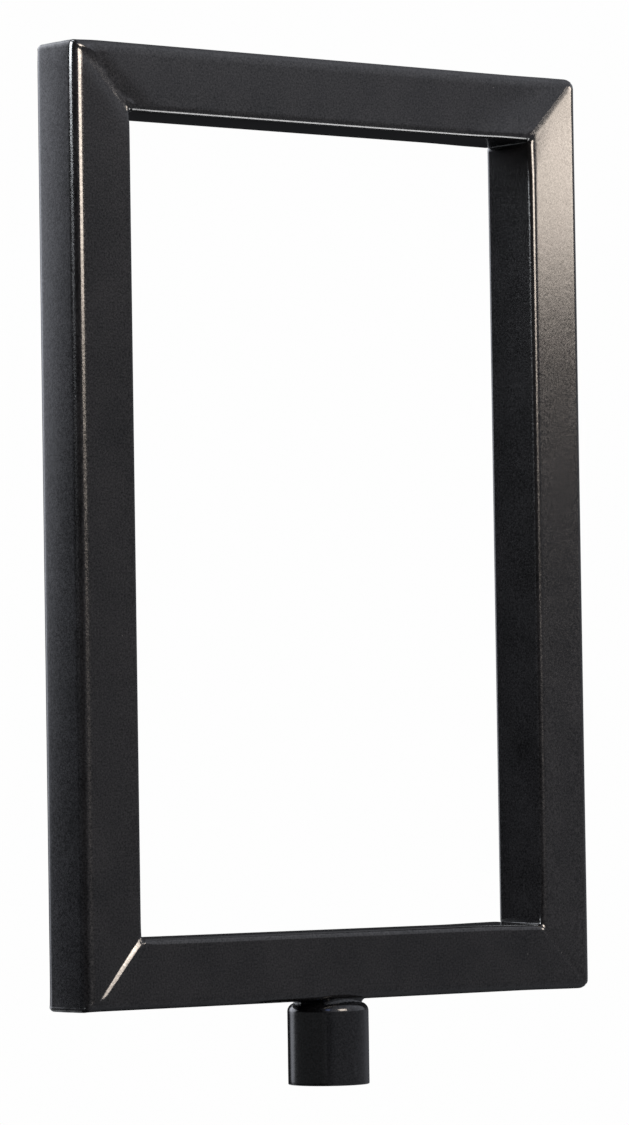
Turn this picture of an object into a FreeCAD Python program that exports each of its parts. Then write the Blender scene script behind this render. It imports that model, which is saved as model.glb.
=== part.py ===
"""Post-top sign frame: four mitred lengths of square steel tube welded into an upright
window, over a turned steel socket that drops onto a post stud and is locked from behind
by one grub screw with a nylon tip.

Frame of reference, in millimetres: the origin is the centre of the socket's open mouth,
+Z runs up through the socket into the frame, +X is the viewer's right, and -Y is the front.
"""

import FreeCAD, Part

import math
import os

from FreeCAD import Vector

INCH = 25.4

# The frame's outside, and the square tube that it is made from. The tube's edges are tight
# round the sign window and eased round the outside, where the frame is handled.
FRAME_WIDTH = 9 * INCH
FRAME_HEIGHT = 13 * INCH
TUBE_SIDE = 24.0
TUBE_WALL = 1.8
OUTER_EDGE_RADIUS = 3.8
INNER_EDGE_RADIUS = 2.2
TUBE_BORE_RADIUS = 1.2
FRAME_CORNER_RADIUS = 3.5

# Mitre welds: the gap left between two tube ends, and how far the bead stands proud.
MITRE_GAP = 2.4
WELD_PROUD = 0.3

# Socket, turned from round bar, and the post stud that it takes.
SOCKET_DIAMETER = 1.125 * INCH
SOCKET_LENGTH = 1.125 * INCH
SOCKET_SHOULDER_RADIUS = 3.0
SOCKET_FOOT_BREAK = 0.3
STUD_DIAMETER = 0.75 * INCH
STUD_CLEARANCE = 0.35
BORE_DEPTH = 24.0
SOCKET_ROOT_GAP = 1.2

# Socket weld: its inner root, its outer toe on the tube, and how far it climbs the tube.
SOCKET_WELD_INNER_RADIUS = 8.5
SOCKET_WELD_OUTER_RADIUS = 12.2
SOCKET_WELD_TOE_RADIUS = 14.0
SOCKET_WELD_DROP = 1.9
SOCKET_WELD_CLIMB = 1.4

# Grub screw, 1/4-20 with a 1/8 in hexagon socket, drawn loosened by four tenths of a turn.
SCREW_HEIGHT = 12.0
SCREW_RADIUS = INCH / 8
SCREW_PITCH = INCH / 20
SCREW_TURNS_LOOSE = 0.4
SCREW_LENGTH = 4.2
SCREW_CHAMFER = 0.6
HEX_ACROSS_FLATS = INCH / 8
HEX_DEPTH = 2.2
RUNNING_CLEARANCE = 0.05

# Nylon tip in the screw's nose: how far it is let in and how far it stands out.
TIP_RADIUS = 1.6
TIP_LET_IN = 1.2
TIP_PROUD = 0.6
TIP_CHAMFER = 0.2

# Worked out from the values above.
FRAME_BOTTOM = SOCKET_LENGTH + SOCKET_ROOT_GAP
FRAME_TOP = FRAME_BOTTOM + FRAME_HEIGHT
HALF_WIDTH = FRAME_WIDTH / 2
SOCKET_RADIUS = SOCKET_DIAMETER / 2
BORE_RADIUS = (STUD_DIAMETER + STUD_CLEARANCE) / 2
MITRE_SHIFT = MITRE_GAP / 2 * math.sqrt(2)
NOSE_Y = STUD_DIAMETER / 2 + SCREW_TURNS_LOOSE * SCREW_PITCH + TIP_PROUD

# How far cutting tools run past what they cut.
OVERRUN = 5.0

X_AXIS = Vector(1, 0, 0)
Y_AXIS = Vector(0, 1, 0)
Z_AXIS = Vector(0, 0, 1)


def square_bar(side, plus_radius, minus_radius, start, axis, length):
    """A square bar along axis from start. Before it is laid along axis it stands on +Z, and
    its long edges on the +X side and on the -X side have a radius each."""
    bar = Part.makeBox(side, side, length, Vector(-side / 2, -side / 2, 0))
    upright = [e for e in bar.Edges if abs(e.tangentAt(e.FirstParameter).z) > 0.5]
    plus_edges = [e for e in upright if e.CenterOfMass.x > 0]
    bar = bar.makeFillet(plus_radius, plus_edges)
    upright = [e for e in bar.Edges if e.BoundBox.XLength + e.BoundBox.YLength < 0.001]
    minus_edges = [e for e in upright if e.CenterOfMass.x < -side / 2 + 0.001]
    bar = bar.makeFillet(minus_radius, minus_edges)
    bar.Placement = FreeCAD.Placement(start, FreeCAD.Rotation(Z_AXIS, axis))
    return bar


def tube_line(member):
    """Where a frame member's centreline starts, its direction and its outer length."""
    half_tube = TUBE_SIDE / 2
    lines = {
        "bottom_rail": (Vector(-HALF_WIDTH, 0, FRAME_BOTTOM + half_tube), X_AXIS, FRAME_WIDTH),
        "top_rail": (Vector(-HALF_WIDTH, 0, FRAME_TOP - half_tube), X_AXIS, FRAME_WIDTH),
        "left_stile": (Vector(-HALF_WIDTH + half_tube, 0, FRAME_BOTTOM), Z_AXIS, FRAME_HEIGHT),
        "right_stile": (Vector(HALF_WIDTH - half_tube, 0, FRAME_BOTTOM), Z_AXIS, FRAME_HEIGHT),
    }
    return lines[member]


def member_bar(member, grow=0.0):
    """A member as a solid bar, grow millimetres larger all round, ends included. Laid along
    X, a bar's own +X side turns to face down; so it faces outwards on the bottom rail and
    on the right stile, and into the window on the other two."""
    start, axis, length = tube_line(member)
    side = TUBE_SIDE + 2 * grow
    plus_radius = OUTER_EDGE_RADIUS + grow
    minus_radius = INNER_EDGE_RADIUS + grow
    if member in ("top_rail", "left_stile"):
        plus_radius, minus_radius = minus_radius, plus_radius
    start = start - axis * grow
    return square_bar(side, plus_radius, minus_radius, start, axis, length + 2 * grow)


def member_tube(member, grow=0.0):
    """A member as a hollow tube with square ends."""
    start, axis, length = tube_line(member)
    side = TUBE_SIDE - 2 * TUBE_WALL
    radius = TUBE_BORE_RADIUS
    start = start - axis * OVERRUN
    bore = square_bar(side, radius, radius, start, axis, length + 2 * OVERRUN)
    return member_bar(member, grow).cut(bore)


def upright_prism(points):
    """A prism through the whole depth of the frame, from its outline in (x, z)."""
    outline = [Vector(x, -TUBE_SIDE, z) for x, z in points]
    face = Part.Face(Part.makePolygon(outline + outline[:1]))
    return face.extrude(Y_AXIS * (2 * TUBE_SIDE))


def frame_envelope(grow=0.0):
    """The whole frame's outline as a solid slab, with its four corners rounded."""
    slab = Part.makeBox(
        FRAME_WIDTH + 2 * grow,
        2 * TUBE_SIDE,
        FRAME_HEIGHT + 2 * grow,
        Vector(-HALF_WIDTH - grow, -TUBE_SIDE, FRAME_BOTTOM - grow),
    )
    corners = [e for e in slab.Edges if abs(e.tangentAt(e.FirstParameter).y) > 0.5]
    return slab.makeFillet(FRAME_CORNER_RADIUS + grow, corners)


def rail_outline(outer_z, inwards):
    """A rail between its two mitres: inwards is +1 for the bottom rail, -1 for the top."""
    outer_x = HALF_WIDTH - MITRE_SHIFT
    inner_x = outer_x - TUBE_SIDE
    inner_z = outer_z + inwards * TUBE_SIDE
    return [(-outer_x, outer_z), (outer_x, outer_z), (inner_x, inner_z), (-inner_x, inner_z)]


def stile_outline(side):
    """A stile between its two mitres: side is -1 for the left stile, +1 for the right."""
    outer_x = side * HALF_WIDTH
    inner_x = side * (HALF_WIDTH - TUBE_SIDE)
    low = FRAME_BOTTOM + MITRE_SHIFT
    high = FRAME_TOP - MITRE_SHIFT
    top_cut = (inner_x, high - TUBE_SIDE)
    bottom_cut = (inner_x, low + TUBE_SIDE)
    return [(outer_x, low), (outer_x, high), top_cut, bottom_cut]


def frame_member(member):
    """One mitred tube, with its outer tips trimmed to the frame's rounded corners."""
    outlines = {
        "bottom_rail": rail_outline(FRAME_BOTTOM, 1),
        "top_rail": rail_outline(FRAME_TOP, -1),
        "left_stile": stile_outline(-1),
        "right_stile": stile_outline(1),
    }
    mitred = member_tube(member).common(upright_prism(outlines[member]))
    return mitred.common(frame_envelope())


def mitre_weld(rail, stile, side, outer_z, inwards):
    """The weld metal that fills one mitre gap, half of it shaped by each tube."""
    corner_x = side * HALF_WIDTH
    reach = TUBE_SIDE + OVERRUN

    def diagonal(distance, shift_x=0.0, shift_z=0.0):
        """A point on the mitre line, moved towards the rail in x or the stile in z."""
        x = corner_x - side * (distance + shift_x)
        z = outer_z + inwards * (distance + shift_z)
        return x, z

    rail_half = upright_prism([
        diagonal(-OVERRUN),
        diagonal(-OVERRUN, shift_x=MITRE_SHIFT),
        diagonal(reach, shift_x=MITRE_SHIFT),
        diagonal(reach),
    ])
    stile_half = upright_prism([
        diagonal(-OVERRUN),
        diagonal(-OVERRUN, shift_z=MITRE_SHIFT),
        diagonal(reach, shift_z=MITRE_SHIFT),
        diagonal(reach),
    ])
    bead = member_tube(rail, WELD_PROUD).common(rail_half)
    bead = bead.fuse(member_tube(stile, WELD_PROUD).common(stile_half))
    return bead.common(frame_envelope(WELD_PROUD)).removeSplitter()


def rims(solid):
    """The full-circle edges of a turned solid."""
    return [edge for edge in solid.Edges if len(edge.Vertexes) == 1]


def post_socket():
    """The turned socket: blind bore from below, rounded shoulder and the screw's hole."""
    body = Part.makeCylinder(SOCKET_RADIUS, SOCKET_LENGTH)
    shoulder = [rim for rim in rims(body) if rim.BoundBox.ZMin > SOCKET_LENGTH / 2]
    body = body.makeFillet(SOCKET_SHOULDER_RADIUS, shoulder)
    foot = [rim for rim in rims(body) if rim.BoundBox.ZMax < SOCKET_LENGTH / 2]
    body = body.makeChamfer(SOCKET_FOOT_BREAK, foot)
    bore = Part.makeCylinder(BORE_RADIUS, BORE_DEPTH + OVERRUN, Vector(0, 0, -OVERRUN))
    screw_hole = Part.makeCylinder(
        SCREW_RADIUS + RUNNING_CLEARANCE,
        SOCKET_RADIUS + OVERRUN,
        Vector(0, 0, SCREW_HEIGHT),
        Y_AXIS,
    )
    return body.cut(bore).cut(screw_hole)


def ring(profile):
    """A solid of revolution about the socket's axis, from its outline in (radius, z)."""
    outline = [Vector(r, 0, z) for r, z in profile]
    face = Part.Face(Part.makePolygon(outline + outline[:1]))
    return face.revolve(Vector(0, 0, 0), Z_AXIS, 360)


def socket_weld():
    """The fillet weld between the socket's shoulder and the underside of the bottom rail."""
    foot = SOCKET_LENGTH - SOCKET_WELD_DROP + SOCKET_ROOT_GAP
    climb = FRAME_BOTTOM + SOCKET_WELD_CLIMB
    root = ring([
        (SOCKET_WELD_INNER_RADIUS, foot),
        (SOCKET_WELD_OUTER_RADIUS, foot),
        (SOCKET_WELD_OUTER_RADIUS, FRAME_BOTTOM),
        (SOCKET_WELD_OUTER_RADIUS - SOCKET_ROOT_GAP, climb),
        (SOCKET_WELD_INNER_RADIUS, climb),
    ])
    toe = ring([
        (SOCKET_WELD_INNER_RADIUS, foot),
        (SOCKET_WELD_OUTER_RADIUS, foot),
        (SOCKET_WELD_TOE_RADIUS, FRAME_BOTTOM),
        (SOCKET_WELD_INNER_RADIUS, FRAME_BOTTOM),
    ])
    flat_width = TUBE_SIDE - 2 * OUTER_EDGE_RADIUS
    underside = Part.makeBox(
        4 * SOCKET_RADIUS,
        flat_width,
        2 * SOCKET_LENGTH,
        Vector(-2 * SOCKET_RADIUS, -flat_width / 2, 0),
    )
    weld = root.fuse(toe.common(underside))
    solid_socket = post_socket().fuse(Part.makeCylinder(SOCKET_RADIUS / 2, SOCKET_LENGTH))
    return weld.cut(member_bar("bottom_rail")).cut(solid_socket).removeSplitter()


def screw_cylinder(radius, start_y, length):
    """A cylinder on the screw's axis, from start_y outwards."""
    return Part.makeCylinder(radius, length, Vector(0, start_y, SCREW_HEIGHT), Y_AXIS)


def set_screw():
    """The grub screw in the back of the socket: hexagon in its head, tip hole in its nose."""
    shank = screw_cylinder(SCREW_RADIUS, NOSE_Y, SCREW_LENGTH)
    shank = shank.makeChamfer(SCREW_CHAMFER, rims(shank))
    tip_hole = screw_cylinder(TIP_RADIUS + RUNNING_CLEARANCE, NOSE_Y - OVERRUN, TIP_LET_IN + OVERRUN)
    corner_radius = HEX_ACROSS_FLATS / 2 / math.cos(math.pi / 6)
    floor_y = NOSE_Y + SCREW_LENGTH - HEX_DEPTH
    corners = []
    for n in range(6):
        angle = n * math.pi / 3
        x = corner_radius * math.cos(angle)
        z = SCREW_HEIGHT + corner_radius * math.sin(angle)
        corners.append(Vector(x, floor_y, z))
    hexagon = Part.Face(Part.makePolygon(corners + corners[:1])).extrude(Y_AXIS * 2 * HEX_DEPTH)
    return shank.cut(tip_hole).cut(hexagon)


def set_screw_tip():
    """The nylon tip, seated in the screw's nose with a hair of clearance behind it."""
    length = TIP_PROUD + TIP_LET_IN - RUNNING_CLEARANCE
    tip = screw_cylinder(TIP_RADIUS, NOSE_Y - TIP_PROUD, length)
    return tip.makeChamfer(TIP_CHAMFER, rims(tip))


def build():
    """Every node of the part, by name."""
    nodes = {}
    for member in ("bottom_rail", "top_rail", "left_stile", "right_stile"):
        nodes[member] = frame_member(member)
    nodes["bottom_left_weld"] = mitre_weld("bottom_rail", "left_stile", -1, FRAME_BOTTOM, 1)
    nodes["bottom_right_weld"] = mitre_weld("bottom_rail", "right_stile", 1, FRAME_BOTTOM, 1)
    nodes["top_left_weld"] = mitre_weld("top_rail", "left_stile", -1, FRAME_TOP, -1)
    nodes["top_right_weld"] = mitre_weld("top_rail", "right_stile", 1, FRAME_TOP, -1)
    nodes["post_socket"] = post_socket()
    nodes["socket_weld"] = socket_weld()
    nodes["set_screw"] = set_screw()
    nodes["set_screw_tip"] = set_screw_tip()
    return nodes


os.makedirs("parts", exist_ok=True)
for node_name, shape in build().items():
    solids = shape.Solids
    print(f"{node_name}: {len(solids)} solid, valid {shape.isValid()}, {shape.Volume:.1f} mm3")
    whole = solids[0] if len(solids) == 1 else Part.makeCompound(solids)
    whole.exportStep(f"parts/{node_name}.step")
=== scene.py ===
"""Looks for the post-top sign frame: satin black powder coat over mitred square tube.

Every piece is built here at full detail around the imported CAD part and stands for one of
its nodes. Lengths are in metres, in the CAD frame: origin at the socket's mouth, +Z up,
+X to the viewer's right, -Y the front.
"""

import math

import bmesh
import bpy
from mathutils import Matrix, Vector, noise


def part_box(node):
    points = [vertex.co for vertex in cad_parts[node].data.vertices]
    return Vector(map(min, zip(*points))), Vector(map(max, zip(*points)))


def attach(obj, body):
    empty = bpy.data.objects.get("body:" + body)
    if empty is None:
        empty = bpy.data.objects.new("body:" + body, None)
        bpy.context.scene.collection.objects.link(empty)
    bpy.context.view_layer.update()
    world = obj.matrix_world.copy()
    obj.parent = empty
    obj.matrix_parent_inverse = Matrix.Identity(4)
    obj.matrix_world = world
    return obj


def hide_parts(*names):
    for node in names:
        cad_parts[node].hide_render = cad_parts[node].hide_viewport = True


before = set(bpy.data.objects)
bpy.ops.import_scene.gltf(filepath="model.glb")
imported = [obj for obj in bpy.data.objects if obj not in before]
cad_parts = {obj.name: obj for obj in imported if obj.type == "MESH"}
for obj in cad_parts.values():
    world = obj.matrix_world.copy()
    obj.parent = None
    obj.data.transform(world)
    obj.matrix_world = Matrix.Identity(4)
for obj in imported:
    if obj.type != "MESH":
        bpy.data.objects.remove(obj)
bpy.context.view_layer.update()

MM = 0.001

# ---------------------------------------------------------------------------
# Sizes, read off the CAD nodes.

RAIL_LOW, RAIL_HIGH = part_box("bottom_rail")
TOP_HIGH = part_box("top_rail")[1]
STILE_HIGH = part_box("right_stile")[1]
SOCKET_LOW, SOCKET_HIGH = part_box("post_socket")
SCREW_LOW, SCREW_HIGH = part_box("set_screw")
TIP_LOW, TIP_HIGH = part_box("set_screw_tip")

TUBE = RAIL_HIGH.z - RAIL_LOW.z
HALF_TUBE = TUBE / 2
FRAME_BOTTOM = RAIL_LOW.z
FRAME_TOP = TOP_HIGH.z
HALF_WIDTH = STILE_HIGH.x

# Sizes that the boxes don't give, as in the CAD.
OUTER_EDGE = 3.8 * MM
INNER_EDGE = 2.2 * MM
BORE_EDGE = 1.2 * MM
TUBE_WALL = 1.8 * MM
MITRE_HALF_GAP = 1.2 * MM

# The frame's outer corners were ground by hand: radius by (left or right, bottom or top).
FRAME_CORNERS = {
    (-1, -1): 1.3 * MM,
    (-1, 1): 2.2 * MM,
    (1, -1): 2.8 * MM,
    (1, 1): 3.5 * MM,
}

# The socket: its shoulder, bore and bore depth are as in the CAD. Its foot and the bore's
# ends are rounded here, and the bore ends in a shallow cone, as a drill leaves it.
SOCKET_SHOULDER = 3.0 * MM
BORE_RADIUS = 9.7 * MM
BORE_DEPTH = 24.0 * MM
BORE_BREAK = 0.5 * MM
BORE_CONE = 1.2 * MM
SOCKET_FOOT_BREAK = 0.35 * MM

# Coating build-up on the socket: its slow waves, and one short run low on the front.
BUILD_UP = 0.03 * MM
RUN_HEIGHT = 0.34 * MM
RUN_HALF_WIDTH = 0.45 * MM
RUN_HALF_LENGTH = 1.4 * MM
RUN_Z = 5.2 * MM
RUN_ANGLE = math.radians(270)

X_AXIS = Vector((1, 0, 0))
Y_AXIS = Vector((0, 1, 0))
Z_AXIS = Vector((0, 0, 1))


def smooth(t):
    """Smoothstep, clamped to 0..1."""
    t = min(1.0, max(0.0, t))
    return t * t * (3 - 2 * t)


def mix(a, b, t):
    return a * (1 - t) + b * t


def bell(x, width):
    """1 at x = 0, falling smoothly to about nothing beyond width."""
    return math.exp(-(x / (0.5 * width)) ** 2)


PIECES = {}


def mesh_piece(name, vertices, faces, material, body="frame", sharp_degrees=32.0):
    """A closed mesh piece that rides on a body, smooth shaded except at real edges."""
    mesh = bpy.data.meshes.new(name)
    mesh.from_pydata(vertices, [], faces)
    mesh.validate()
    piece = bpy.data.objects.new(name, mesh)
    bpy.context.scene.collection.objects.link(piece)
    finish_piece(piece, material, body, sharp_degrees)
    return piece


def face_outwards(mesh):
    """Turns every face of a closed mesh to face out of it."""
    work = bmesh.new()
    work.from_mesh(mesh)
    bmesh.ops.recalc_face_normals(work, faces=work.faces)
    work.to_mesh(mesh)
    work.free()


def finish_piece(piece, material, body, sharp_degrees=32.0):
    """Normals, shading, material and body for a piece."""
    face_outwards(piece.data)
    for polygon in piece.data.polygons:
        polygon.use_smooth = True
    piece.data.set_sharp_from_angle(angle=math.radians(sharp_degrees))
    piece.data.materials.clear()
    piece.data.materials.append(material)
    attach(piece, body)
    PIECES[piece.name] = piece


# ---------------------------------------------------------------------------
# Materials.

def node_tree(name):
    material = bpy.data.materials.new(name)
    material.use_nodes = True
    tree = material.node_tree
    tree.nodes.clear()
    return material, tree


def add(tree, kind, **settings):
    """A shader node, with its properties or inputs set by name."""
    node = tree.nodes.new(kind)
    for key, value in settings.items():
        if key in node.inputs:
            node.inputs[key].default_value = value
        elif key.replace("_", " ") in node.inputs:
            node.inputs[key.replace("_", " ")].default_value = value
        else:
            setattr(node, key, value)
    return node


def noise_field(tree, place, scale, detail=2.0, roughness=0.5):
    field = add(tree, "ShaderNodeTexNoise", Scale=scale, Detail=detail, Roughness=roughness)
    tree.links.new(place, field.inputs["Vector"])
    return field.outputs["Fac"]


def ranged(tree, value, low_in, high_in, low_out, high_out):
    """Maps a value's range to another, clamped."""
    node = add(tree, "ShaderNodeMapRange")
    node.inputs["From Min"].default_value = low_in
    node.inputs["From Max"].default_value = high_in
    node.inputs["To Min"].default_value = low_out
    node.inputs["To Max"].default_value = high_out
    tree.links.new(value, node.inputs["Value"])
    return node.outputs["Result"]


def product(tree, first, second):
    node = add(tree, "ShaderNodeMath", operation="MULTIPLY")
    tree.links.new(first, node.inputs[0])
    tree.links.new(second, node.inputs[1])
    return node.outputs["Value"]


def powder_coat():
    """Satin black powder coat: a dark, faintly mottled base with a fine orange peel."""
    material, tree = node_tree("powder_coat")
    links = tree.links
    place = add(tree, "ShaderNodeTexCoord").outputs["Object"]

    mottle = noise_field(tree, place, 60.0, 4.0, 0.6)
    grain = noise_field(tree, place, 1500.0, 3.0, 0.7)
    tone = add(tree, "ShaderNodeMix", data_type="RGBA")
    tone.inputs["A"].default_value = (0.0006, 0.0006, 0.0007, 1)
    tone.inputs["B"].default_value = (0.0056, 0.0056, 0.0062, 1)
    speckle = product(tree, ranged(tree, mottle, 0.3, 0.7, 0.8, 1.2), grain)
    links.new(ranged(tree, speckle, 0.3, 0.7, 0.0, 1.0), tone.inputs["Factor"])

    specks = add(tree, "ShaderNodeTexVoronoi", Scale=420.0, Randomness=1.0)
    links.new(place, specks.inputs["Vector"])
    speck_mask = ranged(tree, specks.outputs["Distance"], 0.04, 0.10, 1.0, 0.0)
    chosen = ranged(tree, specks.outputs["Color"], 0.955, 0.965, 0.0, 1.0)
    speck = product(tree, speck_mask, chosen)
    specked = add(tree, "ShaderNodeMix", data_type="RGBA")
    specked.inputs["B"].default_value = (0.045, 0.045, 0.048, 1)
    links.new(tone.outputs["Result"], specked.inputs["A"])
    links.new(speck, specked.inputs["Factor"])

    peel_low = noise_field(tree, place, 330.0, 2.0, 0.5)
    peel_fine = noise_field(tree, place, 1300.0, 2.0, 0.5)
    bump_low = add(tree, "ShaderNodeBump", Strength=0.5, Distance=0.000018)
    links.new(peel_low, bump_low.inputs["Height"])
    bump_fine = add(tree, "ShaderNodeBump", Strength=0.5, Distance=0.000008)
    links.new(peel_fine, bump_fine.inputs["Height"])
    links.new(bump_low.outputs["Normal"], bump_fine.inputs["Normal"])

    shader = add(tree, "ShaderNodeBsdfPrincipled", IOR=1.5)
    links.new(specked.outputs["Result"], shader.inputs["Base Color"])
    sheen = ranged(tree, grain, 0.30, 0.70, 0.30, 0.70)
    links.new(sheen, shader.inputs["Specular IOR Level"])
    rough = ranged(tree, grain, 0.3, 0.7, 0.12, 0.18)
    links.new(rough, shader.inputs["Roughness"])
    links.new(bump_fine.outputs["Normal"], shader.inputs["Normal"])
    out = add(tree, "ShaderNodeOutputMaterial")
    links.new(shader.outputs["BSDF"], out.inputs["Surface"])
    return material


def bare_metal(name, colour, roughness, wear_colour):
    """Black-oxide steel whose raised edges have rubbed towards bare metal."""
    material, tree = node_tree(name)
    links = tree.links
    place = add(tree, "ShaderNodeTexCoord").outputs["Object"]
    blotches = noise_field(tree, place, 900.0, 3.0, 0.6)
    fine = noise_field(tree, place, 6000.0, 2.0, 0.5)
    edge = add(tree, "ShaderNodeNewGeometry").outputs["Pointiness"]
    worn = ranged(tree, edge, 0.505, 0.56, 0.0, 1.0)
    rubbed = product(tree, worn, ranged(tree, blotches, 0.4, 0.6, 0.15, 1.0))
    tone = add(tree, "ShaderNodeMix", data_type="RGBA")
    tone.inputs["A"].default_value = (*colour, 1)
    tone.inputs["B"].default_value = (*wear_colour, 1)
    links.new(rubbed, tone.inputs["Factor"])
    bump = add(tree, "ShaderNodeBump", Strength=0.3, Distance=0.00002)
    links.new(fine, bump.inputs["Height"])
    shader = add(tree, "ShaderNodeBsdfPrincipled", Metallic=0.9)
    links.new(tone.outputs["Result"], shader.inputs["Base Color"])
    links.new(ranged(tree, fine, 0.3, 0.7, roughness, roughness + 0.15), shader.inputs["Roughness"])
    links.new(bump.outputs["Normal"], shader.inputs["Normal"])
    out = add(tree, "ShaderNodeOutputMaterial")
    links.new(shader.outputs["BSDF"], out.inputs["Surface"])
    return material


def nylon():
    """Natural nylon: milky, slightly translucent, with a faint turned grain."""
    material, tree = node_tree("white_nylon")
    links = tree.links
    place = add(tree, "ShaderNodeTexCoord").outputs["Object"]
    grain = noise_field(tree, place, 3000.0, 3.0, 0.6)
    tone = add(tree, "ShaderNodeMix", data_type="RGBA")
    tone.inputs["A"].default_value = (0.62, 0.60, 0.52, 1)
    tone.inputs["B"].default_value = (0.78, 0.76, 0.69, 1)
    links.new(grain, tone.inputs["Factor"])
    bump = add(tree, "ShaderNodeBump", Strength=0.3, Distance=0.00002)
    links.new(grain, bump.inputs["Height"])
    shader = add(tree, "ShaderNodeBsdfPrincipled", Roughness=0.42)
    shader.inputs["Subsurface Weight"].default_value = 0.2
    shader.inputs["Subsurface Radius"].default_value = (0.001, 0.001, 0.0008)
    links.new(tone.outputs["Result"], shader.inputs["Base Color"])
    links.new(bump.outputs["Normal"], shader.inputs["Normal"])
    out = add(tree, "ShaderNodeOutputMaterial")
    links.new(shader.outputs["BSDF"], out.inputs["Surface"])
    return material


COAT = powder_coat()
STEEL = bare_metal("blackened_steel", (0.045, 0.045, 0.05), 0.28, (0.36, 0.35, 0.34))
NYLON = nylon()


# ---------------------------------------------------------------------------
# How the tubes sit after welding: turns about their centrelines in degrees, how far along a
# turn builds up, and the share of the right stile's turn that its mitres have.

RIGHT_STILE_TWIST = 3.4
LEFT_STILE_TWIST = 0.6
TOP_RAIL_TWIST = 0.8
TWIST_RUN = 11 * MM
TWIST_AT_MITRE = 0.6
RAIL_TWIST_RUN = 22 * MM

# How far the tube's side faces swell in their middles, and the waves left in drawn tube.
SIDE_CROWN = 0.09 * MM
WAVE_HEIGHT = 0.035 * MM
WAVE_LENGTH = 45 * MM

# Sections stand square to the tube along its middle. Near a mitre they lean over with it:
# fully within the first distance, and less and less over the second.
LEAN_FULL = 14 * MM
LEAN_RUN = 50 * MM


# ---------------------------------------------------------------------------
# The tube frame. A member's surface is described by its profile (u outwards in the frame's
# plane, v in depth) and by the distance from the mitre plane at the nearer end.

class Member:
    """One tube of the frame: where its centreline lies and how it sits after welding."""

    def __init__(self, centre, along, outward, half_length, twist_degrees=0.0):
        self.centre = Vector(centre)
        self.along = along
        self.outward = outward
        self.half_length = half_length
        self.twist = math.radians(twist_degrees)

    def place(self, u, v, reach, turn):
        """A point from its place in the profile, turned about the centreline, and its reach
        along it."""
        turned_u = u * math.cos(turn) - v * math.sin(turn)
        turned_v = u * math.sin(turn) + v * math.cos(turn)
        return self.centre + self.along * reach + self.outward * turned_u + Y_AXIS * turned_v


MID_HEIGHT = (FRAME_BOTTOM + FRAME_TOP) / 2
RAIL_REACH = HALF_WIDTH - HALF_TUBE
STILE_REACH = (FRAME_TOP - FRAME_BOTTOM) / 2 - HALF_TUBE
BOTTOM_CENTRE = (0, 0, FRAME_BOTTOM + HALF_TUBE)
TOP_CENTRE = (0, 0, FRAME_TOP - HALF_TUBE)
LEFT_CENTRE = (-RAIL_REACH, 0, MID_HEIGHT)
RIGHT_CENTRE = (RAIL_REACH, 0, MID_HEIGHT)

# Welding pulls each tube round a little; the right stile has turned the most.
MEMBERS = {
    "bottom_rail": Member(BOTTOM_CENTRE, X_AXIS, -Z_AXIS, RAIL_REACH, 0.0),
    "top_rail": Member(TOP_CENTRE, X_AXIS, Z_AXIS, RAIL_REACH, TOP_RAIL_TWIST),
    "left_stile": Member(LEFT_CENTRE, Z_AXIS, -X_AXIS, STILE_REACH, LEFT_STILE_TWIST),
    "right_stile": Member(RIGHT_CENTRE, Z_AXIS, X_AXIS, STILE_REACH, RIGHT_STILE_TWIST),
}

CORNER_STEPS = 14
FLAT_STEPS = 20
MIDDLE_RING_SPACING = 5 * MM
FIRST_RING_STEP = 0.30 * MM
LAST_RING_STEP = 4 * MM
RING_STEP_GROWTH = 1.12
MITRE_REGION = 30 * MM
WELD_STEPS = 16


def tube_profile(side, outer_edge, inner_edge, crown=0.0):
    """Points (u, v, normal u, normal v) round a square tube. The two edges towards +u have
    one radius and the two towards -u another; crown swells the two side faces."""
    half = side / 2
    corners = [
        (half - outer_edge, half - outer_edge, outer_edge, 0),
        (-half + inner_edge, half - inner_edge, inner_edge, 90),
        (-half + inner_edge, -half + inner_edge, inner_edge, 180),
        (half - outer_edge, -half + outer_edge, outer_edge, 270),
    ]
    points = []
    for number, (u, v, radius, start) in enumerate(corners):
        for step in range(CORNER_STEPS + 1):
            angle = math.radians(start + 90 * step / CORNER_STEPS)
            c = math.cos(angle)
            s = math.sin(angle)
            points.append((u + radius * c, v + radius * s, c, s))
        last_u, last_v, nu, nv = points[-1]
        next_u, next_v, next_radius, next_start = corners[(number + 1) % 4]
        next_angle = math.radians(next_start)
        end_u = next_u + next_radius * math.cos(next_angle)
        end_v = next_v + next_radius * math.sin(next_angle)
        for step in range(1, FLAT_STEPS):
            t = step / FLAT_STEPS
            swell = crown * (1 - (2 * t - 1) ** 2) * abs(nu)
            point_u = mix(last_u, end_u, t) + nu * swell
            points.append((point_u, mix(last_v, end_v, t), nu, nv))
    return points


OUTSIDE = tube_profile(TUBE, OUTER_EDGE, INNER_EDGE, SIDE_CROWN)
INSIDE = tube_profile(TUBE - 2 * TUBE_WALL, BORE_EDGE, BORE_EDGE)

# How each weld looks once dressed and coated: its height over the tubes (dished if
# negative), its width, and how far its middle lies to the stile's side of the mitre.
WELD_LOOKS = {
    "top_left_weld": (-0.24 * MM, 7.6 * MM, -1.2 * MM),
    "top_right_weld": (0.05 * MM, 9.0 * MM, 0.0),
    "bottom_left_weld": (0.12 * MM, 5.0 * MM, 0.0),
    "bottom_right_weld": (-0.21 * MM, 2.4 * MM, -0.4 * MM),
}

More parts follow.
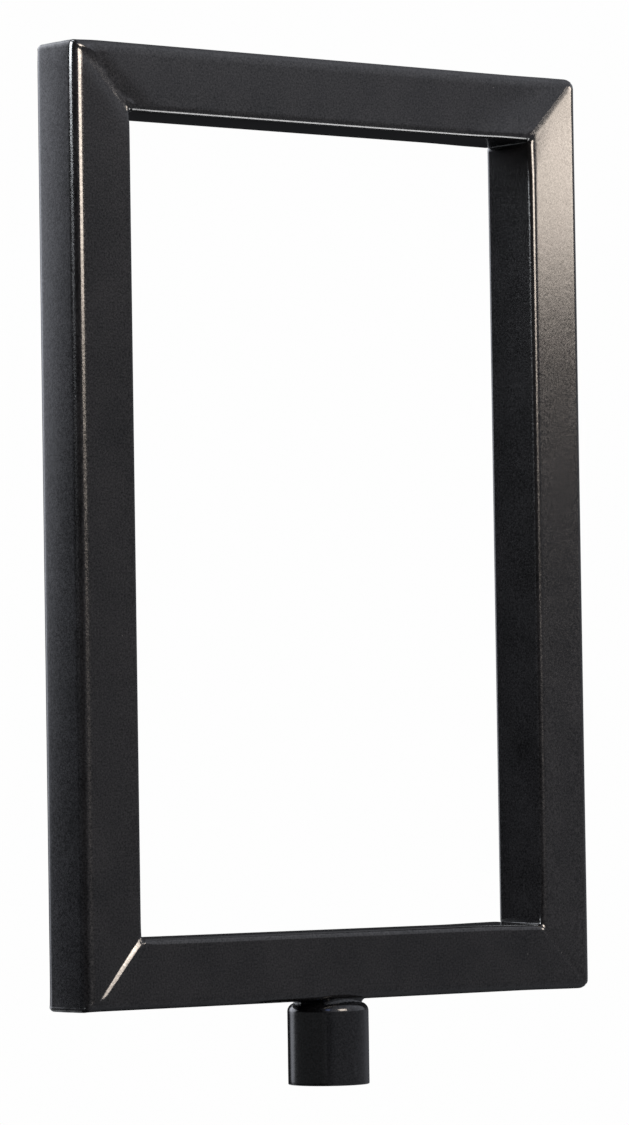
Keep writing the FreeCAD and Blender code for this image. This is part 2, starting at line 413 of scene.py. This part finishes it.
# Dabs of weld left standing: weld, place across the face, distance from the mitre (the
# stile's side is positive), radius and height.
WELD_DABS = [
    ("top_left_weld", 8.8 * MM, -1.4 * MM, 2.6 * MM, 0.55 * MM),
    ("top_left_weld", -9.2 * MM, -2.0 * MM, 1.1 * MM, 0.20 * MM),
    ("top_right_weld", -8.6 * MM, -2.2 * MM, 0.9 * MM, 0.18 * MM),
    ("top_right_weld", 10.6 * MM, -3.6 * MM, 1.2 * MM, 0.18 * MM),
    ("bottom_right_weld", -10.0 * MM, 0.4 * MM, 1.1 * MM, 0.10 * MM),
]

FACET_SLOPE = math.tan(math.radians(21))


def ground_facet(offset, u):
    """The bottom left weld stands proud and is ground to one steep facet that faces the
    stile. It widens towards the window, and drifts on to the rail towards the corner."""
    outwards = (u + HALF_TUBE) / TUBE
    width = mix(1.9, 1.0, outwards) * MM
    crest = mix(0.0, -2.3, outwards) * MM
    fade = smooth((HALF_TUBE - 2.4 * MM - u) / (2.0 * MM))
    height = FACET_SLOPE * width * fade
    if offset > crest:
        return height * max(0.0, 1 - (offset - crest) / width)
    return height * bell(offset - crest, 5.0 * MM)


def weld_height(weld, offset, point):
    """How far the coated surface stands proud near a mitre: offset is the distance from its
    plane, positive on the stile's side."""
    u, v, nu, nv = point
    height, width, middle = WELD_LOOKS[weld]
    ripple = noise.noise(Vector((u / (4 * MM), v / (4 * MM) + hash_of(weld), offset / (3 * MM))))
    total_height = height * bell(offset - middle, width) * (1 + 0.30 * ripple)
    if nv < -0.3:
        for dab_weld, dab_u, dab_offset, radius, dab_height in WELD_DABS:
            if dab_weld == weld:
                apart = math.hypot(u - dab_u, offset - dab_offset)
                total_height += dab_height * math.exp(-(apart / (0.6 * radius)) ** 2)
    if weld == "bottom_left_weld":
        on_front = smooth((-nv - 0.55) / 0.40)
        return mix(total_height, ground_facet(offset, u), on_front)
    return total_height


def hash_of(word):
    """A small number that differs from word to word and never changes between runs."""
    return sum(ord(letter) * (place + 1) for place, letter in enumerate(word)) % 97


def face_waviness(name, profile_index, reach):
    """Slow waves left in drawn tube, as a height over its faces."""
    place = Vector((reach / WAVE_LENGTH, profile_index * 0.05, hash_of(name)))
    return WAVE_HEIGHT * noise.noise(place)


def turn_near_mitre(name, end, distance):
    """How far a tube has turned about its centreline, near one of its ends. The right
    stile's neighbours are drawn round with it, and recover a little way along."""
    member = MEMBERS[name]
    stile_turn = MEMBERS["right_stile"].twist
    if name == "right_stile":
        return stile_turn * mix(TWIST_AT_MITRE, 1.0, smooth(distance / TWIST_RUN))
    own = member.twist * smooth(distance / TWIST_RUN)
    if name.endswith("rail") and end > 0:
        drawn = 1 - smooth((distance - MITRE_HALF_GAP) / RAIL_TWIST_RUN)
        return own + stile_turn * TWIST_AT_MITRE * drawn
    return own


def member_point(name, profile, index, weld, end, distance, on_outside=True):
    """A point of a member's skin, at a distance from the mitre plane at one end."""
    member = MEMBERS[name]
    u, v, nu, nv = profile[index]
    if on_outside:
        reach_guess = member.half_length + u - distance * math.sqrt(2)
        offset = distance if name.endswith("stile") else -distance
        proud = weld_height(weld, offset, profile[index])
        proud += face_waviness(name, index, end * reach_guess)
        u += nu * proud
        v += nv * proud
    lean = 1 - smooth((distance - LEAN_FULL) / LEAN_RUN)
    reach = member.half_length + u * lean - distance * math.sqrt(2)
    return member.place(u, v, end * reach, turn_near_mitre(name, end, distance))


def round_corner(point):
    """Draws a point in to the frame's rounded outer corners: squares round the corner's
    centre become circles."""
    side = -1 if point.x < 0 else 1
    end = -1 if point.z < MID_HEIGHT else 1
    radius = FRAME_CORNERS[(side, end)]
    centre_x = side * (HALF_WIDTH - radius)
    centre_z = MID_HEIGHT + end * ((FRAME_TOP - FRAME_BOTTOM) / 2 - radius)
    over_x = side * (point.x - centre_x)
    over_z = end * (point.z - centre_z)
    if over_x <= 0 or over_z <= 0:
        return point
    scale = max(over_x, over_z) / math.hypot(over_x, over_z)
    x = centre_x + side * over_x * scale
    z = centre_z + end * over_z * scale
    return Vector((x, point.y, z))


def ring_distances():
    """Distances of a member's rings from its mitre plane: close near the weld, then sparse."""
    distances = []
    distance = MITRE_HALF_GAP
    step = FIRST_RING_STEP
    while distance < MITRE_REGION:
        distances.append(distance)
        distance += step
        step = min(step * RING_STEP_GROWTH, LAST_RING_STEP)
    return distances


def store(vertices, points):
    """Adds points to a list of vertices, and gives the places that they took in it."""
    start = len(vertices)
    vertices.extend(points)
    return list(range(start, start + len(points)))


def loft(rings):
    """Faces between successive rings of the same number of vertices."""
    faces = []
    count = len(rings[0])
    for first, second in zip(rings, rings[1:]):
        for k in range(count):
            after = (k + 1) % count
            faces.append((first[k], first[after], second[after], second[k]))
    return faces


def tube_faces(outer, inner):
    """The skin, the bore and the two end faces of a hollow length."""
    ends = loft([outer[0], inner[0]]) + loft([outer[-1], inner[-1]])
    return loft(outer) + loft(inner) + ends


def end_rings(name, profile, weld, end, on_outside):
    """The rings near one end of a member, from its mitre inwards."""
    rings = []
    for distance in ring_distances():
        ring = []
        for index in range(len(profile)):
            ring.append(member_point(name, profile, index, weld, end, distance, on_outside))
        rings.append(ring)
    return rings


def member_rings(name, profile, weld_low, weld_high, on_outside):
    """Rings of points along a member, from its low end to its high end."""
    rings = end_rings(name, profile, weld_low, -1, on_outside)
    high_rings = end_rings(name, profile, weld_high, 1, on_outside)
    between = 2 * (MEMBERS[name].half_length - ring_distances()[-1] * math.sqrt(2))
    middle_count = int(between / MIDDLE_RING_SPACING)
    low_ring = rings[-1]
    high_ring = high_rings[-1]
    for step in range(1, middle_count):
        t = step / middle_count
        rings.append([low.lerp(high, t) for low, high in zip(low_ring, high_ring)])
    rings.extend(reversed(high_rings))
    return rings


def build_member(name, weld_low, weld_high):
    """A hollow mitred tube as one closed shell."""
    vertices = []
    outer = []
    for ring in member_rings(name, OUTSIDE, weld_low, weld_high, True):
        outer.append(store(vertices, [round_corner(point) for point in ring]))
    inner = []
    for ring in member_rings(name, INSIDE, weld_low, weld_high, False):
        inner.append(store(vertices, ring))
    faces = tube_faces(outer, inner)
    piece = mesh_piece("coated_" + name, vertices, faces, COAT)
    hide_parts(name)
    return piece


def weld_ring(weld, rail, stile, rail_end, stile_end, profile, distance, on_outside):
    """One ring of a weld: distance runs from the rail's side (-) to the stile's side (+)."""
    t = smooth((distance / MITRE_HALF_GAP + 1) / 2)
    ring = []
    for index in range(len(profile)):
        on_rail = member_point(rail, profile, index, weld, rail_end, -distance, on_outside)
        on_stile = member_point(stile, profile, index, weld, stile_end, distance, on_outside)
        ring.append(on_rail.lerp(on_stile, t))
    return ring


def build_mitre_weld(weld, rail, stile, rail_end, stile_end):
    """The weld between a rail and a stile, filling the gap between their ends."""
    vertices = []
    outer = []
    inner = []
    for step in range(WELD_STEPS + 1):
        distance = mix(-MITRE_HALF_GAP, MITRE_HALF_GAP, step / WELD_STEPS)
        args = (weld, rail, stile, rail_end, stile_end)
        points = weld_ring(*args, OUTSIDE, distance, True)
        outer.append(store(vertices, [round_corner(point) for point in points]))
        inner.append(store(vertices, weld_ring(*args, INSIDE, distance, False)))
    faces = tube_faces(outer, inner)
    piece = mesh_piece("dressed_" + weld, vertices, faces, COAT)
    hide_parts(weld)
    return piece


build_member("bottom_rail", "bottom_left_weld", "bottom_right_weld")
build_member("top_rail", "top_left_weld", "top_right_weld")
build_member("left_stile", "bottom_left_weld", "top_left_weld")
build_member("right_stile", "bottom_right_weld", "top_right_weld")
build_mitre_weld("bottom_left_weld", "bottom_rail", "left_stile", -1, -1)
build_mitre_weld("bottom_right_weld", "bottom_rail", "right_stile", 1, -1)
build_mitre_weld("top_left_weld", "top_rail", "left_stile", -1, 1)
build_mitre_weld("top_right_weld", "top_rail", "right_stile", 1, 1)


# ---------------------------------------------------------------------------
# The socket and its weld.

SOCKET_RADIUS = SOCKET_HIGH.x
SOCKET_TOP = SOCKET_HIGH.z
SCREW_Z = (SCREW_LOW.z + SCREW_HIGH.z) / 2
SCREW_RADIUS = (SCREW_HIGH.z - SCREW_LOW.z) / 2
THREAD_CLEARANCE = 0.05 * MM


def arc(centre_r, centre_z, radius, start_degrees, end_degrees, steps):
    """Points (r, z) along an arc."""
    points = []
    for step in range(steps + 1):
        angle = math.radians(mix(start_degrees, end_degrees, step / steps))
        points.append((centre_r + radius * math.cos(angle), centre_z + radius * math.sin(angle)))
    return points


def socket_outline():
    """The socket's section, from the top centre down the outside and up the bore."""
    shoulder_r = SOCKET_RADIUS - SOCKET_SHOULDER
    shoulder_z = SOCKET_TOP - SOCKET_SHOULDER
    bore_r = BORE_RADIUS
    bore_end = BORE_DEPTH - BORE_BREAK
    foot = SOCKET_FOOT_BREAK
    outline = [(0.0, SOCKET_TOP), (shoulder_r * 0.5, SOCKET_TOP)]
    outline += arc(shoulder_r, shoulder_z, SOCKET_SHOULDER, 90, 0, 14)
    for step in range(1, 24):
        outline.append((SOCKET_RADIUS, mix(shoulder_z, foot, step / 24)))
    outline += arc(SOCKET_RADIUS - foot, foot, foot, 0, -90, 5)
    outline += arc(bore_r + BORE_BREAK, BORE_BREAK, BORE_BREAK, -90, -180, 4)
    for step in range(1, 12):
        outline.append((bore_r, mix(BORE_BREAK, bore_end, step / 12)))
    outline += arc(bore_r - BORE_BREAK, bore_end, BORE_BREAK, 0, 90, 4)
    outline.append((0.0, BORE_DEPTH + BORE_CONE))
    return outline


def lathe(name, outline, material, body, segments, wobble=None):
    """A closed turned piece from its (r, z) outline, whose ends lie on the axis."""
    vertices = []
    rings = []
    for radius, height in outline:
        if radius < 1e-7:
            rings.append([len(vertices)])
            vertices.append(Vector((0, 0, height)))
            continue
        ring = []
        for k in range(segments):
            angle = 2 * math.pi * k / segments
            grown = radius + (wobble(angle, radius, height) if wobble else 0.0)
            ring.append(len(vertices))
            vertices.append(Vector((grown * math.cos(angle), grown * math.sin(angle), height)))
        rings.append(ring)
    faces = []
    for first, second in zip(rings, rings[1:]):
        for k in range(segments):
            after = (k + 1) % segments
            if len(first) == 1 and len(second) == 1:
                continue
            if len(first) == 1:
                faces.append((first[0], second[k], second[after]))
            elif len(second) == 1:
                faces.append((first[k], second[0], first[after]))
            else:
                faces.append((first[k], second[k], second[after], first[after]))
    return mesh_piece(name, vertices, faces, material, body)


def socket_wobble(angle, radius, height):
    """Coating build-up on the outside: slow waves, and one short run low on the front."""
    if radius < SOCKET_RADIUS - 0.5 * MM:
        return 0.0
    place = (math.cos(angle) * 1.5, math.sin(angle) * 1.5, height / (12 * MM))
    wave = noise.noise(Vector(place))
    across = (angle - RUN_ANGLE) * radius
    along = height - RUN_Z
    run = math.exp(-(across / RUN_HALF_WIDTH) ** 2 - (along / RUN_HALF_LENGTH) ** 2)
    return BUILD_UP * wave + RUN_HEIGHT * run


def hole_cutter():
    """A solid the shape of the grub screw's hole, from the socket's axis out past its back,
    with a countersunk mouth."""
    cutter_mesh = bpy.data.meshes.new("hole")
    vertices = []
    segments = 48
    hole_radius = SCREW_RADIUS + THREAD_CLEARANCE
    stations = [
        (0.0, hole_radius),
        (SOCKET_RADIUS - 0.62 * MM, hole_radius),
        (SOCKET_RADIUS + 0.6 * MM, SCREW_RADIUS + 1.2 * MM),
    ]
    rings = []
    for y, radius in stations:
        ring = []
        for k in range(segments):
            angle = 2 * math.pi * k / segments
            ring.append(len(vertices))
            vertices.append((radius * math.cos(angle), y, SCREW_Z + radius * math.sin(angle)))
        rings.append(ring)
    faces = loft(rings) + [tuple(reversed(rings[0])), tuple(rings[-1])]
    cutter_mesh.from_pydata(vertices, [], faces)
    face_outwards(cutter_mesh)
    cutter = bpy.data.objects.new("hole", cutter_mesh)
    bpy.context.scene.collection.objects.link(cutter)
    return cutter


def build_socket():
    """The turned socket, with the grub screw's hole cut through its back."""
    socket = lathe("coated_post_socket", socket_outline(), COAT, "frame", 288, socket_wobble)
    cutter = hole_cutter()
    cut = socket.modifiers.new("screw_hole", "BOOLEAN")
    cut.operation = "DIFFERENCE"
    cut.solver = "EXACT"
    cut.object = cutter
    bpy.context.view_layer.update()
    depsgraph = bpy.context.evaluated_depsgraph_get()
    socket_mesh = bpy.data.meshes.new_from_object(socket.evaluated_get(depsgraph))
    socket.modifiers.clear()
    socket.data = socket_mesh
    bpy.data.objects.remove(cutter)
    finish_piece(socket, COAT, "frame")
    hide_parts("post_socket")
    return socket


build_socket()


def underside_height(y):
    """Height of the bottom rail's underside at a depth, over its rounded edges."""
    flat = HALF_TUBE - OUTER_EDGE
    over = min(max(abs(y) - flat, 0.0), OUTER_EDGE * 0.999)
    return FRAME_BOTTOM + OUTER_EDGE - math.sqrt(OUTER_EDGE ** 2 - over ** 2)


def build_socket_weld():
    """A rippled fillet bead from the socket's shoulder up to the rail, all the way round."""
    vertices = []
    rings = []
    across = 12
    around = 360
    ripples = 34
    hollow = 0.85 * MM
    root_radius = 8.6 * MM
    lower_radius = SOCKET_RADIUS - 1.75 * MM
    lower_height = SOCKET_TOP - SOCKET_SHOULDER * 0.35
    for k in range(around):
        angle = 2 * math.pi * k / around
        ripple = 0.5 + 0.5 * math.cos(angle * ripples + 1.6 * math.sin(angle * 3))
        lump = noise.noise(Vector((math.cos(angle) * 2.2, math.sin(angle) * 2.2, 3.0)))
        toe_depth = 10.2 * MM + 0.25 * MM * lump
        upper_radius = min(SOCKET_RADIUS - 1.0 * MM, toe_depth / max(0.1, abs(math.sin(angle))))
        y = upper_radius * math.sin(angle)
        upper_height = underside_height(y) + 0.25 * MM
        ring = []
        for step in range(across + 1):
            t = step / across
            radius = mix(lower_radius, upper_radius, t)
            height = mix(lower_height, upper_height, t)
            swell = math.sin(math.pi * t)
            radius += swell * ((0.08 * ripple + 0.22 * lump) * MM - hollow)
            ring.append(len(vertices))
            point = (radius * math.cos(angle), radius * math.sin(angle), height)
            vertices.append(Vector(point))
        for height in (upper_height, lower_height):
            ring.append(len(vertices))
            point = (root_radius * math.cos(angle), root_radius * math.sin(angle), height)
            vertices.append(Vector(point))
        rings.append(ring)
    faces = loft(rings + [rings[0]])
    piece = mesh_piece("rippled_socket_weld", vertices, faces, COAT, "frame", 40)
    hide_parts("socket_weld")
    return piece


build_socket_weld()


# ---------------------------------------------------------------------------
# The grub screw and its nylon tip.

PITCH = 1.27 * MM
HEX_FLATS = 3.175 * MM
HEX_DEPTH = 2.2 * MM
THREAD_DEPTH = 0.55 * MM
NOSE_DEPTH = 1.2 * MM


def build_screw():
    """A grub screw with a true helical thread, a hexagon socket and a hollow nose."""
    around = 60
    length = SCREW_HIGH.y - SCREW_LOW.y
    depth = THREAD_DEPTH
    profile_steps = 10
    turns = length / PITCH
    rows = int(turns * profile_steps)
    vertices = []
    rings = []
    for row in range(rows + 1):
        along = length * row / rows
        ring = []
        for k in range(around):
            angle = 2 * math.pi * k / around
            phase = (along / PITCH + angle / (2 * math.pi)) % 1.0
            flank = abs(phase * 2 - 1)
            ridge = min(1.0, max(0.0, (flank - 0.12) / 0.72))
            chamfer = min(1.0, min(along, length - along) / (0.6 * MM))
            crest = SCREW_RADIUS - 0.62 * MM * (1 - chamfer)
            radius = min(crest, SCREW_RADIUS - depth * (1 - ridge))
            ring.append(len(vertices))
            x = radius * math.cos(angle)
            z = SCREW_Z + radius * math.sin(angle)
            vertices.append(Vector((x, SCREW_LOW.y + along, z)))
        rings.append(ring)

    def flat_ring(y, radius_of):
        ring = []
        for k in range(around):
            angle = 2 * math.pi * k / around
            radius = radius_of(angle)
            ring.append(len(vertices))
            x = radius * math.cos(angle)
            z = SCREW_Z + radius * math.sin(angle)
            vertices.append(Vector((x, y, z)))
        return ring

    def hexagon(angle):
        sector = (angle + math.pi / 6) % (math.pi / 3) - math.pi / 6
        return HEX_FLATS / 2 / math.cos(sector)

    head = SCREW_HIGH.y
    nose = SCREW_LOW.y
    tip_radius = (TIP_HIGH.z - TIP_LOW.z) / 2 + 0.05 * MM
    rings.append(flat_ring(head, lambda a: hexagon(a) + 0.22 * MM))
    rings.append(flat_ring(head - 0.2 * MM, hexagon))
    rings.append(flat_ring(head - HEX_DEPTH, hexagon))
    rings.append(flat_ring(head - HEX_DEPTH - 0.15 * MM, lambda a: 0.8 * MM))
    hex_floor = len(vertices)
    vertices.append(Vector((0, head - HEX_DEPTH - 0.25 * MM, SCREW_Z)))
    nose_rings = [
        rings[0],
        flat_ring(nose, lambda a: tip_radius + 0.1 * MM),
        flat_ring(nose + 0.1 * MM, lambda a: tip_radius),
        flat_ring(nose + NOSE_DEPTH, lambda a: tip_radius),
    ]
    nose_floor = len(vertices)
    vertices.append(Vector((0, nose + NOSE_DEPTH, SCREW_Z)))
    faces = loft(rings) + loft(nose_rings)
    for k in range(around):
        after = (k + 1) % around
        faces.append((rings[-1][k], rings[-1][after], hex_floor))
        faces.append((nose_rings[-1][k], nose_rings[-1][after], nose_floor))
    piece = mesh_piece("threaded_set_screw", vertices, faces, STEEL, "screw", 25)
    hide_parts("set_screw")
    return piece


def build_tip():
    """The nylon tip: a short turned pin with a slightly domed end."""
    radius = (TIP_HIGH.z - TIP_LOW.z) / 2
    length = TIP_HIGH.y - TIP_LOW.y
    outline = [(0.0, 0.0), (radius * 0.5, 0.03 * MM), (radius * 0.86, 0.12 * MM)]
    outline += [(radius * 0.97, 0.25 * MM), (radius, 0.45 * MM), (radius, length * 0.6)]
    outline += [(radius, length - 0.15 * MM), (radius - 0.15 * MM, length), (0.0, length)]
    tip = lathe("turned_set_screw_tip", outline, NYLON, "screw_travel", 48)
    # Turned upright, then laid along the screw's axis.
    for vertex in tip.data.vertices:
        x, y, z = vertex.co
        vertex.co = (x, TIP_LOW.y + z, SCREW_Z + y)
    finish_piece(tip, NYLON, "screw_travel")
    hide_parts("set_screw_tip")
    return tip


build_screw()
build_tip()


# ---------------------------------------------------------------------------
# Studio: pale floor, soft boxes and the camera.

CAMERA_PLACE = Vector((-1.26108, -1.53722, FRAME_BOTTOM + 0.08616))
CAMERA_RIGHT = Vector((0.77410, -0.63288, -0.01520))
CAMERA_UP = Vector((-0.00966, -0.03582, 0.99931))
CAMERA_LENS = 180.70
CAMERA_SENSOR = 36.0


def build_camera():
    data = bpy.data.cameras.new("camera")
    data.lens = CAMERA_LENS
    data.sensor_width = CAMERA_SENSOR
    data.clip_start = 0.01
    camera = bpy.data.objects.new("camera", data)
    backward = CAMERA_RIGHT.cross(CAMERA_UP)
    turn = Matrix((CAMERA_RIGHT, CAMERA_UP, backward)).transposed()
    camera.matrix_world = Matrix.Translation(CAMERA_PLACE) @ turn.to_4x4()
    bpy.context.scene.collection.objects.link(camera)
    bpy.context.scene.camera = camera


def build_floor():
    """A plain pale floor that runs into the backdrop. Only the camera sees it: the studio's
    dim surroundings light the object from below."""
    material, tree = node_tree("pale_floor")
    links = tree.links
    unseen = add(tree, "ShaderNodeBsdfTransparent")
    seen = add(tree, "ShaderNodeEmission", Strength=0.99)
    path = add(tree, "ShaderNodeLightPath")
    blend = add(tree, "ShaderNodeMixShader")
    links.new(path.outputs["Is Camera Ray"], blend.inputs["Fac"])
    links.new(unseen.outputs["BSDF"], blend.inputs[1])
    links.new(seen.outputs["Emission"], blend.inputs[2])
    out = add(tree, "ShaderNodeOutputMaterial")
    links.new(blend.outputs["Shader"], out.inputs["Surface"])
    mesh = bpy.data.meshes.new("floor")
    work = bmesh.new()
    bmesh.ops.create_grid(work, x_segments=8, y_segments=8, size=6.0)
    work.to_mesh(mesh)
    work.free()
    floor = bpy.data.objects.new("floor", mesh)
    floor.location = (0, 0, SOCKET_LOW.z)
    mesh.materials.append(material)
    bpy.context.scene.collection.objects.link(floor)


def toward(azimuth, elevation):
    """A unit vector; azimuth runs from the front (-Y) towards +X."""
    turn = math.radians(azimuth)
    rise = math.radians(elevation)
    return Vector((
        math.sin(turn) * math.cos(rise),
        -math.cos(turn) * math.cos(rise),
        math.sin(rise),
    ))


def glow(tree, direction, centre, wide_degrees, near_degrees, strength):
    """A soft round patch of light in the surroundings: nothing beyond wide_degrees from its
    centre, full within near_degrees."""
    dot = add(tree, "ShaderNodeVectorMath", operation="DOT_PRODUCT")
    tree.links.new(direction, dot.inputs[0])
    dot.inputs[1].default_value = centre
    low = math.cos(math.radians(wide_degrees))
    high = math.cos(math.radians(near_degrees))
    return ranged(tree, dot.outputs["Value"], low, high, 0.0, strength)


def total(tree, values):
    """The sum of several values."""
    result = values[0]
    for value in values[1:]:
        node = add(tree, "ShaderNodeMath", operation="ADD")
        tree.links.new(result, node.inputs[0])
        tree.links.new(value, node.inputs[1])
        result = node.outputs["Value"]
    return result


def build_world():
    """White to the camera. To everything else, a dim studio: grey in front, nearly black
    behind, paler overhead, with a soft panel behind on the left over a dim apron, and a pale
    wall beyond on the right."""
    world = bpy.data.worlds.new("studio")
    bpy.context.scene.world = world
    world.use_nodes = True
    tree = world.node_tree
    tree.nodes.clear()
    links = tree.links
    direction = add(tree, "ShaderNodeTexCoord").outputs["Generated"]
    axes = add(tree, "ShaderNodeSeparateXYZ")
    links.new(direction, axes.inputs["Vector"])
    front = glow(tree, direction, toward(38, 0), 96, 56, 1.0)
    overhead = ranged(tree, axes.outputs["Z"], 0.10, 0.17, 0.0, OVERHEAD)
    base = ranged(tree, front, 0.0, 1.0, BACK_GREY, FRONT_GREY)
    panel = glow(tree, direction, toward(-164, 18), 25.5, 15, PANEL)
    wall = glow(tree, direction, toward(140, 30), 24, 8, FAR_WALL)
    apron = glow(tree, direction, toward(-153, -2), 17, 4, APRON)
    level = total(tree, [base, product(tree, front, overhead), panel, wall, apron])
    dim = add(tree, "ShaderNodeBackground")
    dim.inputs["Color"].default_value = (0.95, 0.98, 1.08, 1)
    links.new(level, dim.inputs["Strength"])
    white = add(tree, "ShaderNodeBackground", Strength=1.0)
    white.inputs["Color"].default_value = (0.99, 0.99, 0.99, 1)
    path = add(tree, "ShaderNodeLightPath")
    blend = add(tree, "ShaderNodeMixShader")
    links.new(path.outputs["Is Camera Ray"], blend.inputs["Fac"])
    links.new(dim.outputs["Background"], blend.inputs[1])
    links.new(white.outputs["Background"], blend.inputs[2])
    out = add(tree, "ShaderNodeOutputWorld")
    links.new(blend.outputs["Shader"], out.inputs["Surface"])


def soft_box(name, azimuths, elevations, radiance, colour):
    """An area light round the object, spanning a range of azimuth and of elevation as seen
    from the frame's middle."""
    distance = 1.9
    centre = Vector((0, 0, FRAME_BOTTOM + 0.25))
    direction = toward(sum(azimuths) / 2, sum(elevations) / 2)
    width_degrees = azimuths[1] - azimuths[0]
    height_degrees = elevations[1] - elevations[0]
    data = bpy.data.lights.new(name, "AREA")
    data.shape = "RECTANGLE"
    data.size = 2 * distance * math.tan(math.radians(width_degrees / 2))
    data.size_y = 2 * distance * math.tan(math.radians(height_degrees / 2))
    data.energy = radiance * math.pi * data.size * data.size_y
    data.color = colour
    light = bpy.data.objects.new(name, data)
    light.location = centre + direction * distance
    light.rotation_euler = (-direction).to_track_quat("-Z", "Y").to_euler()
    bpy.context.scene.collection.objects.link(light)
    return light


def flag(light, names, keep_only=False):
    """Flags a light off the named pieces, or off everything but them."""
    group = bpy.data.collections.new(light.name + "_flag")
    for name in names:
        group.objects.link(PIECES[name])
    light.light_linking.receiver_collection = group
    if not keep_only:
        for entry in group.collection_objects:
            entry.light_linking.link_state = "EXCLUDE"


def low_card():
    """A bright card lying low on the right, facing up: it draws the line along the top
    rail's inner edge."""
    data = bpy.data.lights.new("low_card", "AREA")
    data.shape = "RECTANGLE"
    data.size = 0.26
    data.size_y = 0.14
    data.energy = 10.0 * math.pi * data.size * data.size_y
    light = bpy.data.objects.new("low_card", data)
    light.location = Vector((0.24, -0.10, FRAME_BOTTOM + 0.02))
    light.rotation_euler = (math.pi, 0, 0)
    bpy.context.scene.collection.objects.link(light)
    flag(light, ["coated_top_rail", "dressed_top_left_weld", "dressed_top_right_weld"], True)


# Pieces that some lights are flagged off: the socket with its weld, and the two pieces whose
# left edges would mirror a card behind.
SOCKET_PIECES = ["coated_post_socket", "rippled_socket_weld"]
SILHOUETTE_PIECES = ["coated_left_stile", "coated_post_socket"]


def build_lights():
    """The soft boxes, each spanning (azimuths), (elevations), and its radiance."""
    right_box = soft_box("right_front_box", (46.6, 65), (5.1, 22), 15.0, WARM)
    flag(right_box, [
        "coated_top_rail",
        "coated_left_stile",
        "coated_bottom_rail",
        "coated_post_socket",
        "rippled_socket_weld",
    ])
    high_box = soft_box("high_front_box", (-4, 18), (11, 33), 16.0, WARM)
    flag(high_box, ["rippled_socket_weld"])
    left_box = soft_box("left_front_box", (-28, 0), (4.7, 30), 28.0, WARM)
    flag(left_box, SOCKET_PIECES)
    back_box = soft_box("left_back_box", (-122, -96), (9.0, 36), 34.0, COOL)
    flag(back_box, SOCKET_PIECES)
    soft_box("blue_window", (-44, -33), (20, 34), 3.0, BLUE)
    collar_card = soft_box("collar_card", (-158, -44), (-18, -5), 0.20, COOL)
    flag(collar_card, ["coated_post_socket"], True)
    soft_box("high_back_box", (150, 210), (14, 46), 1.5, COOL)
    back_card = soft_box("back_card", (150, 210), (-42, -6), 0.8, COOL)
    flag(back_card, SILHOUETTE_PIECES)
    low_back_card = soft_box("low_back_card", (150, 210), (-46, -17), 0.8, COOL)
    flag(low_back_card, SILHOUETTE_PIECES, True)
    low_card()


WARM = (1.0, 0.87, 0.75)
COOL = (0.92, 0.96, 1.0)
BLUE = (0.30, 0.42, 1.0)
FRONT_GREY = 0.32
BACK_GREY = 0.02
OVERHEAD = 0.62
PANEL = 2.9
APRON = 0.08
FAR_WALL = 0.10

build_camera()
build_floor()
build_world()
build_lights()

bpy.context.scene.view_settings.view_transform = "Standard"
